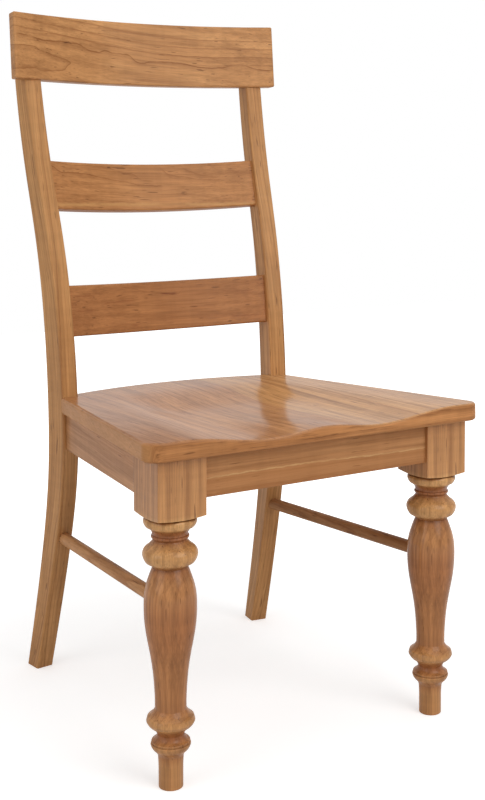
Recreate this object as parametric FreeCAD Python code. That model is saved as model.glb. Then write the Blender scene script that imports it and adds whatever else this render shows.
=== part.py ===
"""Ladderback dining chair: turned front legs, bent rear posts, scooped plank seat.

Millimetres. While it is modelled the chair stands on z = 0 with y = 0 on the axes of the
two front legs, +X to the right as seen from the front, and +Y towards the back. Before it
is written out it is moved so that the origin is under the middle of its box.
"""
import FreeCAD, Part
import math
import os

V = FreeCAD.Vector

# Fits between the pieces
glue_line = 0.1            # left all round a glued joint
round_fit = 0.15           # radial room of a dowel or a screw in its hole
seat_notch_room = 0.8      # between the seat and the posts it is notched round

# Front legs: square block above, turned below
leg_half_spacing = 213.4   # leg axis from the middle of the chair
leg_block = 69.4           # side of the square block
leg_block_bottom = 353.4   # height of the block's lower end above the floor
leg_block_ease = 1.5       # rounding of the block's long edges
pommel_slope = 0.19        # rise of the block's turned lower end, per mm of radius

# The turning below the block, from the floor up to the vase and from the block down to it
foot_radius = 16.0
foot_height = 26.4
foot_ease = 1.2
small_ring_radius = 26.1
small_ring_rise = 30.2     # widest line above the straight foot
low_ring_radius = 31.6
low_ring_rise = 30.6       # widest line above the small ring's
vase_neck_radius = 20.5
vase_neck_rise = 15.8      # above the low ring's widest line
vase_radius = 34.3
vase_top_radius = 23.0
vase_top_drop = 16.5       # below the high ring's widest line
high_ring_radius = 36.0
high_ring_drop = 42.0      # below the collar's widest line
flange_radius = 24.7
flange_drop = 19.1
collar_radius = 34.8
collar_drop = 7.4          # below the block
# Flanks of each member, going up, as insets from its widest radius and rises from its
# widest line: a row of one point is a straight run to it, a row of two an arc through both
small_ring_flanks = (
    ((9.8, -21.6), (9.3, -14.8)),
    ((7.2, -10.5), (3.6, -6.9)),
    ((1.2, -3.5), (0.0, 0.0)),
    ((0.3, 1.2), (1.6, 2.0)),
    ((1.6, 2.8),),
    ((1.0, 3.8), (2.1, 5.2)),
    ((6.6, 8.6), (8.4, 13.4)),
)
low_ring_flanks = (
    ((11.0, -11.6), (6.2, -7.8)),
    ((2.0, -3.8), (0.0, 0.0)),
    ((0.6, 2.9), (1.6, 5.8)),
    ((7.0, 10.0), (10.7, 15.2)),
)
high_ring_flanks = (
    ((9.9, -13.4), (4.6, -10.4)),
    ((1.4, -5.3), (0.0, 0.0)),
    ((0.6, 3.9), (4.5, 9.5)),
    ((8.8, 12.8), (13.1, 17.6)),
    ((13.6, 18.6),),
)
flange_flanks = (
    ((1.5, -2.4),),
    ((0.0, 0.0), (1.5, 2.4)),
    ((1.5, 4.4),),
)
collar_flanks = (
    ((9.7, -11.1), (3.0, -5.9)),
    ((1.1, -3.1), (0.0, 0.0)),
    ((0.5, 3.6), (2.2, 5.9)),
)
# The vase's line: share of its height, and of the way from its neck or top to its belly
vase_rising = (
    (0.046, -0.007),
    (0.150, 0.05),
    (0.270, 0.19),
    (0.406, 0.48),
    (0.521, 0.77),
    (0.635, 0.96),
    (0.734, 1.0),
)
vase_falling = (
    (0.829, 0.89),
    (0.901, 0.60),
    (0.957, 0.28),
)

# Rear posts: a curved blank of constant width, its plane toed out to the rear
post_width = 27.8
post_toe = 7.7             # degrees
post_outer_half = 202.2    # outer front corner from the middle, at seat height
post_setback = 371.8       # outer front corner behind the front legs' axes, at seat height
post_top = 1024.0
post_ease = 2.6
# height, how far the front face lies behind its place at the seat, depth of the post
post_stations = (
    (0.0, 83.7, 31.3),
    (86.0, 57.9, 34.5),
    (200.0, 26.3, 39.5),
    (330.0, 1.6, 44.9),
    (430.0, 0.0, 46.2),
    (545.0, 11.1, 44.2),
    (680.0, 38.9, 40.9),
    (800.0, 75.3, 38.5),
    (930.0, 105.4, 35.8),
    (1040.0, 121.5, 32.5),
)

# Seat
seat_front_height = 433.0  # underside at the front edge
seat_slope = 0.032         # fall towards the back
seat_thickness = 25.0
seat_overhang = 49.3       # front edge ahead of the legs' axes
seat_front_half = 270.0
seat_rear_half = 201.4     # at the back corners
seat_tail = 58.8           # middle of the curved back edge behind the posts' front corners
seat_back_sag = 44.0       # the back edge's bow between its corners
seat_corner = 22.0         # rounding of the front corners in plan
seat_ease = 4.0
board_count = 5
scoop_depth = 12.0
scoop_reach = 130.0        # from a hollow's deepest line out to the flat rim
hollow_offset = 88.0       # deepest line of each hollow from the middle
pommel_rise = 7.0          # ridge between the hollows, at the front edge
pommel_length = 190.0
scoop_flat_end = 190.0     # where the hollows start to rise to the back
scoop_end = 352.0

# Seat frame
apron_thickness = 19.0
apron_height = 55.6
apron_reveal = 5.7         # apron faces behind the legs' and posts' faces
apron_ease = 1.5
rear_apron_inset = 8.0     # rear apron ahead of the posts' rear faces
rear_tenon_length = 16.0
tenon_thickness = 9.5
tenon_length = 20.0
tenon_shoulder = 8.0       # tenon shorter than its rail, above and below
dowel_radius = 5.0
dowel_length = 40.0
dowel_spacing = 26.0

# Corner blocks and screws
block_width = 30.0
block_height = 34.0
block_clear = 14.0         # between a block and the corner of its leg or post
screw_radius = 2.1
screw_head_radius = 4.2
screw_head_height = 2.4
block_screw_length = 30.0
block_screw_grip = 18.0    # from a screw's head to the apron
seat_screw_length = 36.0
seat_screw_bore = 10.0     # depth of the counterbore under the block
seat_screw_place = 0.4     # share of the way along a block from its front or rear apron

# Back: crest and slats share the bow
bow_radius = 790.0
crest_half_length = 237.3
crest_height = 104.5
crest_thickness = 19.5
crest_middle = 986.0       # height of its middle, at its ends
crest_lean = 5.2           # degrees
crest_proud = 5.5          # front face ahead of the posts'
crest_ease = 2.6
slat_height = 79.0
slat_thickness = 16.0
slat_recess = 9.5          # front face behind the posts' fronts
slat_ease = 2.4
slat_tenon_thickness = 10.0
slat_tenon_length = 14.0
slat_middles = (("slat_upper", 768.0), ("slat_lower", 573.0))
crest_screw_length = 26.0
crest_screw_bite = 12.0    # depth in the crest
crest_screw_spacing = 46.0
plug_radius = 4.8

# Side stretchers
stretcher_radius = 9.3
stretcher_rear_height = 221.0
stretcher_front_height = 234.0
stretcher_post_depth = 15.0
stretcher_leg_reach = 16.0  # end short of the leg's axis
stretcher_end_room = 1.0

# Working values
big = 2000.0               # larger than the chair, for trimming tools
tenon_root = 1.0           # a tenon's solid starts this far inside its rail
rail_spare = 100.0         # a side rail's blank runs on past both of its ends
bar_spare = 100.0          # and a bent slat's past the posts
seat_margin = 30.0         # the scooped surface goes on past the seat's edges
scoop_columns = 41         # points across and along that surface
scoop_rows = 33
search_steps = 50
pitch = math.degrees(math.atan(seat_slope))
toe = math.radians(post_toe)
seat_back = post_setback + seat_tail
seat_width = 2.0 * seat_front_half
board_width = seat_width / board_count
block_half = leg_block / 2.0
sides = (("left", -1.0), ("right", 1.0))


def box(x0, x1, y0, y1, z0, z1):
    return Part.makeBox(x1 - x0, y1 - y0, z1 - z0, V(x0, y0, z0))


def rod(start, end, radius):
    axis = end.sub(start)
    return Part.makeCylinder(radius, axis.Length, start, axis)


def mirrored(shape):
    return shape.mirror(V(0, 0, 0), V(1, 0, 0))


def on_side(shape, side):
    """The shape as made for +X, or its mirror image for -X."""
    return shape if side > 0 else mirrored(shape)


def group(solids):
    return Part.makeCompound(solids)


def on_both_sides(solids):
    return group([on_side(solid, side) for solid in solids for _, side in sides])


def one(shape):
    """The single solid of a boolean's result, cleaned of needless seams."""
    solids = shape.removeSplitter().Solids
    solids.sort(key=lambda solid: solid.Volume)
    return solids[-1]


def seat_z(y):
    """Height of the seat's underside."""
    return seat_front_height - seat_slope * (y + seat_overhang)


def tilted(shape):
    """From the seat's own flat frame, underside at z = 0, to its place."""
    placed = shape.copy()
    placed.rotate(V(0, 0, 0), V(1, 0, 0), -pitch)
    placed.translate(V(0, 0, seat_z(0.0)))
    return placed


def above_frame(gap):
    """Everything above the seat's underside, less a gap."""
    return tilted(box(-big, big, -big, big, -gap, big))


def apron_band():
    """The space between the aprons' lower edges and the seat."""
    return tilted(box(-big, big, -big, big, -apron_height, -glue_line))


# Posts

def station_curve(rear):
    points = []
    for height, back, depth in post_stations:
        points.append(V(0, back + (depth if rear else 0.0), height))
    curve = Part.BSplineCurve()
    curve.interpolate(points)
    return curve


post_front = station_curve(False)
post_rear = station_curve(True)


def curve_at(curve, height):
    """How far back a post curve is at a height, and its lean there in degrees."""
    low = curve.FirstParameter
    high = curve.LastParameter
    for _ in range(search_steps):
        middle = (low + high) / 2.0
        if curve.value(middle).z < height:
            low = middle
        else:
            high = middle
    slope = curve.tangent(low)[0]
    return curve.value(low).y, math.degrees(math.atan2(slope.y, slope.z))


def post_place(shape):
    """From the right post's own plane to its place; x = 0 is its outer face."""
    placed = shape.copy()
    placed.rotate(V(0, 0, 0), V(0, 0, 1), -post_toe)
    placed.translate(V(post_outer_half, post_setback, 0))
    return placed


def post_point(inward, back, height):
    return V(post_outer_half + back * math.sin(toe) - inward * math.cos(toe),
             post_setback + back * math.cos(toe) + inward * math.sin(toe), height)


def post_blank(room):
    """The right post's bent blank in its place, wider all round by some room."""
    front = post_front.toShape().translated(V(room, -room, 0))
    rear = post_rear.toShape().translated(V(room, room, 0))
    outline = Part.Wire([
        front,
        Part.LineSegment(front.Vertexes[-1].Point, rear.Vertexes[-1].Point).toShape(),
        rear,
        Part.LineSegment(rear.Vertexes[0].Point, front.Vertexes[0].Point).toShape(),
    ])
    blank = Part.Face(outline).extrude(V(-post_width - 2.0 * room, 0, 0))
    blank = one(blank.common(box(-big, big, -big, big, 0.0, post_top)))
    if room == 0.0:
        blank = eased(blank, post_ease, is_long_post_edge)
    return post_place(blank)


def eased(shape, radius, pick):
    edges = [edge for edge in shape.Edges if pick(edge)]
    return shape.makeFillet(radius, edges)


def is_long_post_edge(edge):
    return edge.BoundBox.ZLength > post_top / 2.0


def beyond_inner_face(outward):
    """Space on the outer side of the right post's inner face, moved outward."""
    return post_place(box(-post_width + outward, big, -big, big, -big, big))


def between_posts(shape, gap):
    """Trim a rail at both posts' inner faces; a negative gap reaches into them."""
    for side in (-1.0, 1.0):
        shape = shape.cut(on_side(beyond_inner_face(-gap), side))
    return one(shape)


# Front legs

def straight(edges, end):
    start = edges[-1].lastVertex().Point
    edges.append(Part.LineSegment(start, end).toShape())


def rounded(edges, middle, end):
    start = edges[-1].lastVertex().Point
    edges.append(Part.Arc(start, middle, end).toShape())


def flowing(edges, points):
    start = edges[-1].lastVertex().Point
    spline = Part.BSplineCurve()
    spline.interpolate([start] + points)
    edges.append(spline.toShape())


def turned_member(edges, flanks, radius, height):
    """Carry the half section on through the flanks of a ring, flange or collar."""
    for row in flanks:
        points = [V(radius - inset, 0, height + rise) for inset, rise in row]
        if len(points) > 1:
            rounded(edges, points[0], points[1])
        else:
            straight(edges, points[0])


def vase(edges, neck_height, top_height):
    """Carry the half section on through the vase, which fills the height that is left."""
    tall = top_height - neck_height
    points = []
    for stretch, end_radius in ((vase_rising, vase_neck_radius), (vase_falling, vase_top_radius)):
        for up, out in stretch:
            radius = end_radius + out * (vase_radius - end_radius)
            points.append(V(radius, 0, neck_height + up * tall))
    straight(edges, V(vase_neck_radius, 0, neck_height))
    flowing(edges, points + [V(vase_top_radius, 0, top_height)])


def turning():
    """Half section of the turned part, from the floor up, spun round the axis."""
    small_ring_height = foot_height + small_ring_rise
    low_ring_height = small_ring_height + low_ring_rise
    collar_height = leg_block_bottom - collar_drop
    high_ring_height = collar_height - high_ring_drop
    flat = foot_radius - foot_ease
    slant = foot_ease * math.sqrt(0.5)
    edges = [Part.LineSegment(V(0, 0, 0), V(flat, 0, 0)).toShape()]
    rounded(edges, V(flat + slant, 0, foot_ease - slant), V(foot_radius, 0, foot_ease))
    straight(edges, V(foot_radius, 0, foot_height))
    turned_member(edges, small_ring_flanks, small_ring_radius, small_ring_height)
    turned_member(edges, low_ring_flanks, low_ring_radius, low_ring_height)
    vase(edges, low_ring_height + vase_neck_rise, high_ring_height - vase_top_drop)
    turned_member(edges, high_ring_flanks, high_ring_radius, high_ring_height)
    turned_member(edges, flange_flanks, flange_radius, collar_height - flange_drop)
    turned_member(edges, collar_flanks, collar_radius, collar_height)
    top = edges[-1].lastVertex().Point.z
    straight(edges, V(0, 0, top))
    straight(edges, V(0, 0, 0))
    return Part.Face(Part.Wire(edges)).revolve(V(0, 0, 0), V(0, 0, 1), 360.0)


def square_block():
    """The square top, its lower end turned to a flat cone."""
    block = box(-block_half, block_half, -block_half, block_half,
                leg_block_bottom - block_half, seat_front_height + seat_thickness)
    block = eased(block, leg_block_ease, lambda edge: edge.BoundBox.ZLength > block_half)
    cone_radius = block_half * 2.0
    low = leg_block_bottom - pommel_slope * block_half
    cone = Part.makeCone(0.0, cone_radius, pommel_slope * cone_radius, V(0, 0, low))
    above = Part.makeCylinder(cone_radius, big, V(0, 0, low + pommel_slope * cone_radius))
    return block.common(cone.fuse(above))


def front_leg_blank():
    leg = turning().fuse(square_block())
    leg.translate(V(leg_half_spacing, 0, 0))
    return one(leg.cut(above_frame(glue_line)))


# Rails

def tenon_band(room):
    """The level band that the tenons of all four aprons lie in."""
    return tilted(box(-big, big, -big, big,
                      -apron_height + tenon_shoulder - room, -tenon_shoulder + room))


def front_tenon(room):
    """The front apron's tenon in the right leg, or its mortise with some room."""
    inner = leg_half_spacing - block_half
    middle = apron_thickness / 2.0 - block_half + apron_reveal
    half = tenon_thickness / 2.0 + room
    tongue = box(inner - tenon_root, inner + tenon_length + room,
                 middle - half, middle + half, 0.0, big)
    return tongue.common(tenon_band(room))


def front_apron():
    inner = leg_half_spacing - block_half - glue_line
    face = -block_half + apron_reveal
    rail = box(-inner, inner, face, face + apron_thickness, 0.0, big)
    rail = rail.common(apron_band())
    rail = eased(rail, apron_ease, lambda edge: edge.BoundBox.XLength > inner
                 and edge.BoundBox.ZMax < seat_front_height - apron_height / 2.0)
    for side in (-1.0, 1.0):
        rail = rail.fuse(on_side(front_tenon(0.0), side))
    return one(rail)


def side_rail_frame():
    """Right side apron: ends of its outer face, its direction and the way into the frame."""
    front = V(leg_half_spacing + block_half - apron_reveal, block_half, 0)
    rear = post_point(apron_reveal, 0.0, 0.0)
    along = rear.sub(front)
    along.normalize()
    return front, rear, along, V(-along.y, along.x, 0)


def side_rail_blank(inset, thickness, room):
    """Upright prism along the side apron's line, long at both ends."""
    front, rear, along, inward = side_rail_frame()
    start = front.sub(along * rail_spare).add(inward * (inset - room))
    end = rear.add(along * rail_spare).add(inward * (inset - room))
    across = inward * (thickness + 2.0 * room)
    corners = [start, end, end.add(across), start.add(across), start]
    return Part.Face(Part.makePolygon(corners)).extrude(V(0, 0, big))


def side_tenon(room):
    """The side apron's tenon in the right leg, or its mortise with some room."""
    inset = (apron_thickness - tenon_thickness) / 2.0
    tongue = side_rail_blank(inset, tenon_thickness, room)
    tongue = tongue.common(box(0, big, block_half - tenon_length - room,
                               block_half + tenon_root, 0.0, big))
    return tongue.common(tenon_band(room))


def side_apron():
    """Right side apron, its rear end fitted to the post's front face."""
    rail = side_rail_blank(0.0, apron_thickness, 0.0).common(apron_band())
    rail = rail.common(box(0, big, block_half + glue_line, big, 0.0, big))
    rail = one(rail.cut(post_blank(glue_line)))
    low_edges = seat_front_height - apron_height / 2.0
    rail = eased(rail, apron_ease, lambda edge: edge.BoundBox.ZMax < low_edges
                 and edge.BoundBox.YLength > post_setback / 2.0)
    rail = rail.fuse(side_tenon(0.0))
    for dowel in side_dowels(round_fit):
        rail = rail.cut(dowel)
    return one(rail)


def side_dowels(room):
    """Two dowels from the side apron's rear end into the right post."""
    front, rear, along, inward = side_rail_frame()
    middle = rear.add(inward * (apron_thickness / 2.0))
    dowels = []
    for step in (-0.5, 0.5):
        height = seat_z(post_setback) - apron_height / 2.0 + step * dowel_spacing
        centre = V(middle.x, middle.y, height)
        half = along * (dowel_length / 2.0 + room)
        dowels.append(rod(centre.sub(half), centre.add(half), dowel_radius + room))
    return dowels


def rear_apron_face():
    """y of the rear apron's front face."""
    height = seat_z(post_setback) - apron_height / 2.0
    back = curve_at(post_rear, height)[0]
    return post_point(post_width, back, height).y - rear_apron_inset - apron_thickness


def rear_tenons(room):
    face = rear_apron_face() + (apron_thickness - tenon_thickness) / 2.0
    tongue = box(-big, big, face - room, face + tenon_thickness + room, 0.0, big)
    return between_posts(tongue.common(tenon_band(room)), -rear_tenon_length - room)


def rear_apron():
    face = rear_apron_face()
    rail = box(-big, big, face, face + apron_thickness, 0.0, big).common(apron_band())
    rail = between_posts(rail, glue_line)
    low_edges = seat_front_height - apron_height
    rail = eased(rail, apron_ease, lambda edge: edge.BoundBox.ZMax < low_edges
                 and edge.BoundBox.XLength > post_outer_half)
    return one(rail.fuse(rear_tenons(0.0)))


# Side stretchers

def stretcher_ends():
    """Axis of the right stretcher, from inside the post to inside the leg."""
    back = curve_at(post_front, stretcher_rear_height)[0]
    entry = post_point(post_width / 2.0, back, stretcher_rear_height)
    goal = V(leg_half_spacing, 0, stretcher_front_height)
    along = goal.sub(entry)
    along.normalize()
    return entry.sub(along * stretcher_post_depth), goal.sub(along * stretcher_leg_reach), along


def stretcher():
    start, end, along = stretcher_ends()
    return rod(start, end, stretcher_radius)


def stretcher_hole():
    start, end, along = stretcher_ends()
    room = along * stretcher_end_room
    return rod(start.sub(room), end.add(room), stretcher_radius + round_fit)


# Back rails

def bow(x):
    """How far the bowed front face at x stands ahead of its middle."""
    return bow_radius - math.sqrt(bow_radius ** 2 - x ** 2)


def bent_bar(half_length, height, thickness, inset, room):
    """Bar bowed to the back, its front face's middle at the origin when inset is 0."""
    inner = bow_radius + inset - room
    outer = bow_radius + inset + thickness + room
    base = V(0, -bow_radius, -height / 2.0 - room)
    tall = height + 2.0 * room
    ring = Part.makeCylinder(outer, tall, base).cut(Part.makeCylinder(inner, tall, base))
    return one(ring.common(box(-half_length, half_length, -bow_radius / 2.0, big, -big, big)))


def leaned(shape, lean, back, height):
    placed = shape.copy()
    placed.rotate(V(0, 0, 0), V(1, 0, 0), -lean)
    placed.translate(V(0, back, height))
    return placed


def crest_place(shape):
    """From the crest's own upright frame to its place on the posts."""
    lean = math.radians(crest_lean)
    foot = crest_middle - crest_height / 2.0 * math.cos(lean)
    rest = post_point(post_width / 2.0, curve_at(post_front, foot)[0], foot)
    back = rest.y - crest_proud + bow(rest.x) * math.cos(lean)
    back += crest_height / 2.0 * math.sin(lean)
    height = crest_middle - bow(crest_half_length) * math.sin(lean)
    return leaned(shape, crest_lean, back, height)


def crest_blank():
    bar = bent_bar(crest_half_length, crest_height, crest_thickness, 0.0, 0.0)
    return crest_place(bar.makeFillet(crest_ease, bar.Edges))


def crest_notch():
    """Cuts the posts' tops back to the crest's lower edge and rear face."""
    low = -crest_height / 2.0 - glue_line
    reach = bow_radius + crest_thickness + glue_line
    return crest_place(Part.makeCylinder(reach, big, V(0, -bow_radius, low)))


def crest_screw_axes():
    """Points on the crest's rear face and the outward direction, in its own frame."""
    rest = post_point(post_width / 2.0, curve_at(post_front, crest_middle)[0], crest_middle)
    turn = math.asin(rest.x / (bow_radius + crest_thickness))
    outward = V(math.sin(turn), math.cos(turn), 0)
    for step in (-0.5, 0.5):
        point = V(0, -bow_radius, step * crest_screw_spacing)
        yield point.add(outward * (bow_radius + crest_thickness)), outward


def crest_fixings(room):
    """Screws and their plugs for the right post, with room all round for the holes."""
    screws = []
    plugs = []
    for point, outward in crest_screw_axes():
        under_head = point.add(outward * (crest_screw_length - crest_screw_bite))
        screws.append(crest_place(screw(under_head, outward * -1.0, crest_screw_length, room)))
        head_top = under_head.add(outward * (screw_head_height + glue_line - room))
        far = under_head.add(outward * post_width * 2.0)
        plugs.append(crest_place(rod(head_top, far, plug_radius + room)))
    return screws, plugs


def slat_place(shape, middle):
    back, lean = curve_at(post_front, middle)
    edge = post_point(post_width, back, middle)
    slope = math.radians(lean)
    depth = edge.y + slat_recess + bow(edge.x) * math.cos(slope)
    return leaned(shape, lean, depth, middle - bow(edge.x) * math.sin(slope))


def slat_tenons(middle, room):
    inset = (slat_thickness - slat_tenon_thickness) / 2.0
    tall = slat_height - 2.0 * tenon_shoulder
    bar = bent_bar(post_outer_half + bar_spare, tall, slat_tenon_thickness, inset, room)
    return between_posts(slat_place(bar, middle), -slat_tenon_length - room)


def slat(middle):
    bar = bent_bar(post_outer_half + bar_spare, slat_height, slat_thickness, 0.0, 0.0)
    bar = eased(bar, slat_ease, lambda edge: edge.BoundBox.XLength > post_outer_half)
    bar = between_posts(slat_place(bar, middle), glue_line)
    return one(bar.fuse(slat_tenons(middle, 0.0)))


# Screws and corner blocks

def screw(under_head, into, length, room):
    """Cylinder-head screw, its head's underside at a point; or its hole, with some room."""
    shank = rod(under_head, under_head.add(into * (length + room)), screw_radius + room)
    head = rod(under_head, under_head.sub(into * (screw_head_height + room)),
               screw_head_radius + room)
    return one(shank.fuse(head))


def block_lines():
    """Corner point and the direction towards it, for the right front and rear corners."""
    diagonal = math.sqrt(0.5)
    leg_corner = V(leg_half_spacing - block_half, block_half, 0)
    post_corner = post_point(post_width, 0.0, 0.0)
    return {"front": (leg_corner, V(diagonal, -diagonal, 0), 1.0),
            "rear": (post_corner, V(diagonal, diagonal, 0), -1.0)}


def corner_block_blank(end):
    """Bar across the right front or rear corner of the seat frame."""
    corner, outward, turn = block_lines()[end]
    across = V(-outward.y, outward.x, 0)
    near = corner.sub(outward * block_clear)
    far = near.sub(outward * block_width)
    corners = [near.add(across * big), near.sub(across * big),
               far.sub(across * big), far.add(across * big)]
    bar = Part.Face(Part.makePolygon(corners + [corners[0]])).extrude(V(0, 0, big))
    bar = bar.common(tilted(box(-big, big, -big, big, -block_height, -glue_line)))
    front = -block_half + apron_reveal + apron_thickness + glue_line
    rear = rear_apron_face() - glue_line
    bar = bar.common(box(0, big, front, rear, 0.0, big))
    return bar.cut(side_rail_blank(-big, big + apron_thickness, glue_line))


def nearest_solid(shape, point):
    return min(shape.Solids, key=lambda solid: solid.CenterOfMass.sub(point).Length)


def block_screws(end, room):
    """Two screws into the aprons and one into the seat, for one right-hand block."""
    corner, outward, turn = block_lines()[end]
    centre_line = corner.sub(outward * (block_clear + block_width / 2.0))
    face = rear_apron_face()
    if end == "front":
        face = -block_half + apron_reveal + apron_thickness
    slope = outward.x / outward.y
    foot = V(centre_line.x - (face - centre_line.y) / slope, face, 0)
    start, _, _, inward = side_rail_frame()
    inner = start.add(inward * apron_thickness)
    across = V(-outward.y, outward.x, 0)
    travel = inner.sub(foot).dot(inward) / across.dot(inward)
    head = foot.add(across * travel)
    middle_drop = -block_height / 2.0
    screws = []
    for point, away in ((foot, V(0, turn, 0)), (head, inward)):
        height = seat_z(point.y) + middle_drop
        seat_point = V(point.x, point.y, height).add(away * block_screw_grip)
        screws.append((seat_point, away * -1.0, block_screw_length))
    share = foot.add(head.sub(foot) * seat_screw_place)
    under = V(share.x, share.y, seat_z(share.y) - block_height + seat_screw_bore)
    screws.append((under, V(0, 0, 1), seat_screw_length))
    made = []
    for under_head, into, length in screws:
        solid = screw(under_head, into, length, room)
        if room > 0.0:
            entry = under_head.sub(into * block_width)
            solid = solid.fuse(rod(under_head, entry, screw_head_radius + room))
        made.append(solid)
    return made


# Seat

def hollow(x, y):
    """Depth of the saddle below the flat rim."""
    off = abs(x)
    quarter = math.pi / 2.0
    ridge = 0.0
    if off < hollow_offset:
        fade = min(max((y + seat_overhang) / pommel_length, 0.0), 1.0)
        ridge = pommel_rise * math.cos(quarter * off / hollow_offset) ** 2
        ridge *= math.cos(quarter * fade) ** 2
        across = 1.0
    else:
        taper = (seat_front_half - seat_rear_half) / (post_setback + seat_overhang)
        reach = scoop_reach - taper * (y + seat_overhang)
        across = math.cos(quarter * min((off - hollow_offset) / reach, 1.0)) ** 2
    rise = min(max((y - scoop_flat_end) / (scoop_end - scoop_flat_end), 0.0), 1.0)
    return (scoop_depth * across - ridge) * math.cos(quarter * rise) ** 2


def over_seat():
    """Everything above the scooped top, in the seat's own frame."""
    half = seat_front_half + seat_margin
    low = -seat_overhang - seat_margin
    high = seat_back + seat_margin
    grid = []
    for i in range(scoop_columns):
        x = half * (2.0 * i / (scoop_columns - 1) - 1.0)
        strip = []
        for j in range(scoop_rows):
            y = low + (high - low) * j / (scoop_rows - 1)
            strip.append(V(x, y, seat_thickness - hollow(x, y)))
        grid.append(strip)
    surface = Part.BSplineSurface()
    surface.interpolate(grid)
    return surface.toShape().extrude(V(0, 0, big))


def seat_outline():
    rear_y = seat_back - seat_back_sag
    front_y = -seat_overhang
    front_left = V(-seat_front_half, front_y, 0)
    front_right = V(seat_front_half, front_y, 0)
    rear_right = V(seat_rear_half, rear_y, 0)
    rear_left = V(-seat_rear_half, rear_y, 0)
    edges = [
        Part.LineSegment(front_left, front_right).toShape(),
        Part.LineSegment(front_right, rear_right).toShape(),
        Part.Arc(rear_right, V(0, seat_back, 0), rear_left).toShape(),
        Part.LineSegment(rear_left, front_left).toShape(),
    ]
    return Part.Face(Part.Wire(edges))


def whole_seat():
    """The glued-up seat as one piece, before it is divided into its boards."""
    slab = seat_outline().extrude(V(0, 0, seat_thickness * 2.0))
    slab = eased(slab, seat_corner, lambda edge: edge.BoundBox.ZLength > seat_thickness
                 and edge.BoundBox.YMax < 0.0)
    slab = one(slab.cut(over_seat()))
    rim = [edge for edge in slab.Edges if edge.BoundBox.ZLength < seat_thickness / 2.0
           or edge.BoundBox.XLength + edge.BoundBox.YLength > seat_thickness]
    slab = slab.makeFillet(seat_ease, rim)
    seat = tilted(slab)
    for side in (-1.0, 1.0):
        seat = seat.cut(on_side(post_blank(seat_notch_room), side))
    return one(seat)


def seat_boards(seat):
    boards = []
    for index in range(board_count):
        left = -seat_front_half + index * board_width
        boards.append(one(seat.common(box(left, left + board_width, -big, big, 0, big))))
    return boards


# Assembly

def build():
    nodes = {}
    seat = whole_seat()
    leg = front_leg_blank()
    leg = leg.cut(front_tenon(glue_line)).cut(side_tenon(glue_line)).cut(stretcher_hole())
    raw_post = post_blank(0.0)
    notched = one(raw_post.cut(crest_notch()))
    post = notched.cut(rear_tenons(glue_line)).cut(stretcher_hole())
    for name, middle in slat_middles:
        post = post.cut(slat_tenons(middle, glue_line))
        nodes[name] = slat(middle)
    crest = crest_blank()
    screw_holes, plug_holes = crest_fixings(round_fit)
    screws, plugs = crest_fixings(0.0)
    for hole in screw_holes + plug_holes:
        post = post.cut(hole)
        crest = crest.cut(on_side(hole, 1.0)).cut(on_side(hole, -1.0))
    plugs = [one(plug.common(notched)) for plug in plugs]
    for hole in side_dowels(round_fit):
        post = post.cut(hole)
    aprons = {"front": front_apron(), "rear": rear_apron(), "side": side_apron()}
    block_fixings = []
    seat_fixings = []
    for end in ("front", "rear"):
        middle = block_lines()[end][0]
        block = nearest_solid(corner_block_blank(end), middle)
        holes = block_screws(end, round_fit)
        for hole in holes:
            block = block.cut(hole)
        for side_name, side in sides:
            nodes["corner_block_" + end + "_" + side_name] = on_side(one(block), side)
            aprons[end] = aprons[end].cut(on_side(holes[0], side))
            seat = seat.cut(on_side(holes[2], side))
        aprons["side"] = aprons["side"].cut(holes[1])
        made = block_screws(end, 0.0)
        block_fixings += made[:2]
        seat_fixings += made[2:]
    for side_name, side in sides:
        nodes["front_leg_" + side_name] = on_side(one(leg), side)
        nodes["rear_post_" + side_name] = on_side(one(post), side)
        nodes["apron_" + side_name] = on_side(one(aprons["side"]), side)
        nodes["stretcher_" + side_name] = on_side(stretcher(), side)
    nodes["apron_front"] = one(aprons["front"])
    nodes["apron_rear"] = one(aprons["rear"])
    nodes["crest_rail"] = one(crest)
    for index, board in enumerate(seat_boards(one(seat))):
        nodes["seat_board_%d" % (index + 1)] = board
    nodes["apron_dowels"] = on_both_sides(side_dowels(0.0))
    nodes["corner_block_screws"] = on_both_sides(block_fixings)
    nodes["seat_screws"] = on_both_sides(seat_fixings)
    nodes["crest_screws"] = on_both_sides(screws)
    nodes["crest_plugs"] = on_both_sides(plugs)
    return nodes


def main():
    nodes = build()
    whole = group(list(nodes.values())).optimalBoundingBox(False, False)
    shift = V(-(whole.XMin + whole.XMax) / 2.0, -(whole.YMin + whole.YMax) / 2.0, -whole.ZMin)
    os.makedirs("parts", exist_ok=True)
    for name, shape in nodes.items():
        shape.translate(shift)
        shape.exportStep("parts/" + name + ".step")
        print(name, len(shape.Solids), "solids", round(shape.Volume / 1000.0, 1), "cm3")
    print("size", whole.XLength, whole.YLength, whole.ZLength, "moved by", shift)


main()
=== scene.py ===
# %% [markdown]
# # A ladderback dining chair in clear-finished wood
#
# The chair's solids come ready made, at their real size: turned front legs, bent rear
# posts, a seat glued up from five boards, and a bowed back. Nothing here moves or reshapes
# them. This file gives them what a solid can't carry, which is the look of real wood under
# a thin satin lacquer, and then puts them in a plain white studio.
#
# The wood is procedural. A picture of wood would be quicker, but it would stretch on the
# turnings and repeat on the boards. A procedural log is cut by every surface as a saw
# cuts a real one, so the figure on two faces of one piece agrees at their shared edge.

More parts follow.
